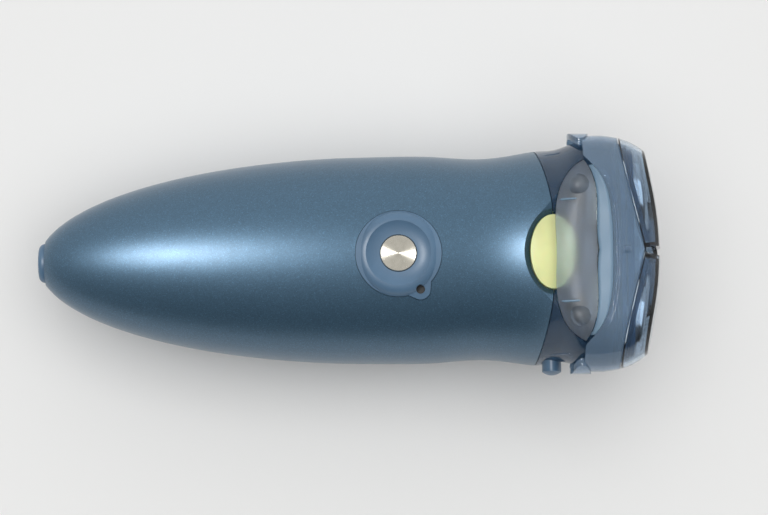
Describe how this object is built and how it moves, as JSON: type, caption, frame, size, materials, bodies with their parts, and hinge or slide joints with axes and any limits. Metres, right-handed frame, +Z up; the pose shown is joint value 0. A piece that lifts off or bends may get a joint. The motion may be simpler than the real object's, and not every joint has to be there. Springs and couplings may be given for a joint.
{
  "type": "rotary shaver",
  "caption": "Cordless rotary shaver with a tapering handle, round power button, lotion pump button, three floating shaving heads and a clear protective cap, lying on its back.",
  "frame": {"origin": "under the middle of the shaver, on the surface that it lies on", "axes": "+X from the tail to the shaving heads, +Y across, +Z up out of the front face with the buttons"},
  "size_m": [0.158, 0.0604, 0.0553],
  "materials": {
    "body_blue": "satin metallic",
    "bezel_blue": "satin",
    "button_steel": "spun",
    "lotion_green": "satin",
    "clear_blue": "polished",
    "smoke_cap": "polished",
    "frosted_blue": "frosted",
    "dark_plastic": "matt",
    "guard_chrome": "polished",
    "ring_steel": "satin",
    "inner_steel": "zinc plated",
    "motor_can": "plated",
    "cell_sleeve": "shrink sleeve",
    "frame_grey": "moulded",
    "gear_white": "moulded",
    "board_green": "lacquered",
    "switch_black": "moulded",
    "bush_brass": "turned",
    "soft_seal": "matt",
    "lotion_white": "blown"
  },
  "bodies": {
    "handle": {"front_housing": "body_blue", "rear_housing": "body_blue", "housing_screws": "inner_steel", "tail_socket": "dark_plastic", "inlet_pins": "inner_steel", "power_bezel": "bezel_blue", "led_light_guide": "dark_plastic", "circuit_board": "board_green", "power_switch": "switch_black", "inner_frame": "frame_grey", "battery_left": "cell_sleeve", "battery_right": "cell_sleeve", "battery_straps": "inner_steel", "motor": "motor_can", "motor_bracket": "frame_grey", "gear_plate": "frame_grey", "spindle_bushes": "bush_brass", "spindle_plate": "dark_plastic", "spindle_seals": "soft_seal", "neck_collar": "clear_blue", "button_window": "frosted_blue", "pump_body": "frame_grey", "lotion_nozzle": "frame_grey", "lotion_tube": "soft_seal", "cartridge_valve": "frame_grey", "power_button_spring": "inner_steel", "lotion_button_spring": "inner_steel"},
    "power_key": {"power_button": "dark_plastic", "power_button_disc": "button_steel"},
    "lotion_key": {"lotion_button": "lotion_green", "pump_plunger": "frame_grey"},
    "release_key": {"release_button": "bezel_blue"},
    "rotor": {"motor_shaft": "inner_steel", "motor_pinion": "gear_white"},
    "cartridge": {"cartridge_cover": "body_blue", "lotion_cartridge": "lotion_white"},
    "shaving_unit": {"hair_chamber": "clear_blue", "retaining_frame": "dark_plastic", "head_holder": "dark_plastic"},
    "cap": {"protective_cap": "smoke_cap"},
    "drive_1": {"drive_gear_1": "gear_white", "drive_spindle_1": "inner_steel"},
    "head_1": {"head_cap_1": "guard_chrome", "head_ring_1": "ring_steel"},
    "cutting_1": {"cutter_1": "ring_steel"},
    "drive_2": {"drive_gear_2": "gear_white", "drive_spindle_2": "inner_steel"},
    "head_2": {"head_cap_2": "guard_chrome", "head_ring_2": "ring_steel"},
    "cutting_2": {"cutter_2": "ring_steel"},
    "drive_3": {"drive_gear_3": "gear_white", "drive_spindle_3": "inner_steel"},
    "head_3": {"head_cap_3": "guard_chrome", "head_ring_3": "ring_steel"},
    "cutting_3": {"cutter_3": "ring_steel"}
  },
  "joints": [
    {"name": "power_button_press", "type": "slide", "parent": "handle", "child": "power_key", "axis": [0, 0, -1], "range_m": [0, 0.0006], "stiffness_N_per_m": 900, "deforming": ["power_button_spring"]},
    {"name": "lotion_button_press", "type": "slide", "parent": "handle", "child": "lotion_key", "axis": [0, 0, -1], "range_m": [0, 0.0018], "stiffness_N_per_m": 700, "deforming": ["lotion_button_spring"]},
    {"name": "release_button_press", "type": "slide", "parent": "handle", "child": "release_key", "axis": [0, 1, 0], "range_m": [0, 0.001], "stiffness_N_per_m": 1200},
    {"name": "cartridge_pull", "type": "slide", "parent": "handle", "child": "cartridge", "axis": [0, 0, -1], "range_m": [0, 0.03]},
    {"name": "shaving_unit_pull", "type": "slide", "parent": "handle", "child": "shaving_unit", "axis": [1, 0, 0], "range_m": [0, 0.03]},
    {"name": "cap_pull", "type": "slide", "parent": "shaving_unit", "child": "cap", "axis": [1, 0, 0], "range_m": [0, 0.03]},
    {"name": "motor_spin", "type": "hinge", "parent": "handle", "child": "rotor", "pos_m": [0, 0, 0.0319], "axis": [1, 0, 0], "continuous": true},
    {"name": "drive_spin_1", "type": "hinge", "parent": "handle", "child": "drive_1", "pos_m": [0.061, 0.01472, 0.0404], "axis": [1, 0, 0], "continuous": true},
    {"name": "head_float_1", "type": "slide", "parent": "shaving_unit", "child": "head_1", "axis": [-0.9903, -0.1201, -0.0693], "range_m": [0, 0.0012], "stiffness_N_per_m": 500},
    {"name": "cutter_spin_1", "type": "hinge", "parent": "head_1", "child": "cutting_1", "pos_m": [0.069, 0.01472, 0.0404], "axis": [0.9903, 0.1201, 0.0693], "continuous": true},
    {"name": "drive_spin_2", "type": "hinge", "parent": "handle", "child": "drive_2", "pos_m": [0.061, -0.01472, 0.0404], "axis": [1, 0, 0], "continuous": true},
    {"name": "head_float_2", "type": "slide", "parent": "shaving_unit", "child": "head_2", "axis": [-0.9903, 0.1201, -0.0693], "range_m": [0, 0.0012], "stiffness_N_per_m": 500},
    {"name": "cutter_spin_2", "type": "hinge", "parent": "head_2", "child": "cutting_2", "pos_m": [0.069, -0.01472, 0.0404], "axis": [0.9903, -0.1201, 0.0693], "continuous": true},
    {"name": "drive_spin_3", "type": "hinge", "parent": "handle", "child": "drive_3", "pos_m": [0.061, 0, 0.0149], "axis": [1, 0, 0], "continuous": true},
    {"name": "head_float_3", "type": "slide", "parent": "shaving_unit", "child": "head_3", "axis": [-0.9903, 0, 0.1386], "range_m": [0, 0.0012], "stiffness_N_per_m": 500},
    {"name": "cutter_spin_3", "type": "hinge", "parent": "head_3", "child": "cutting_3", "pos_m": [0.069, 0, 0.0149], "axis": [0.9903, 0, -0.1386], "continuous": true}
  ],
  "couplings": [
    {"joint": "drive_spin_1", "follows": "motor_spin", "ratio": -0.54545},
    {"joint": "cutter_spin_1", "follows": "motor_spin", "ratio": -0.54545},
    {"joint": "drive_spin_2", "follows": "motor_spin", "ratio": -0.54545},
    {"joint": "cutter_spin_2", "follows": "motor_spin", "ratio": -0.54545},
    {"joint": "drive_spin_3", "follows": "motor_spin", "ratio": -0.54545},
    {"joint": "cutter_spin_3", "follows": "motor_spin", "ratio": -0.54545}
  ]
}
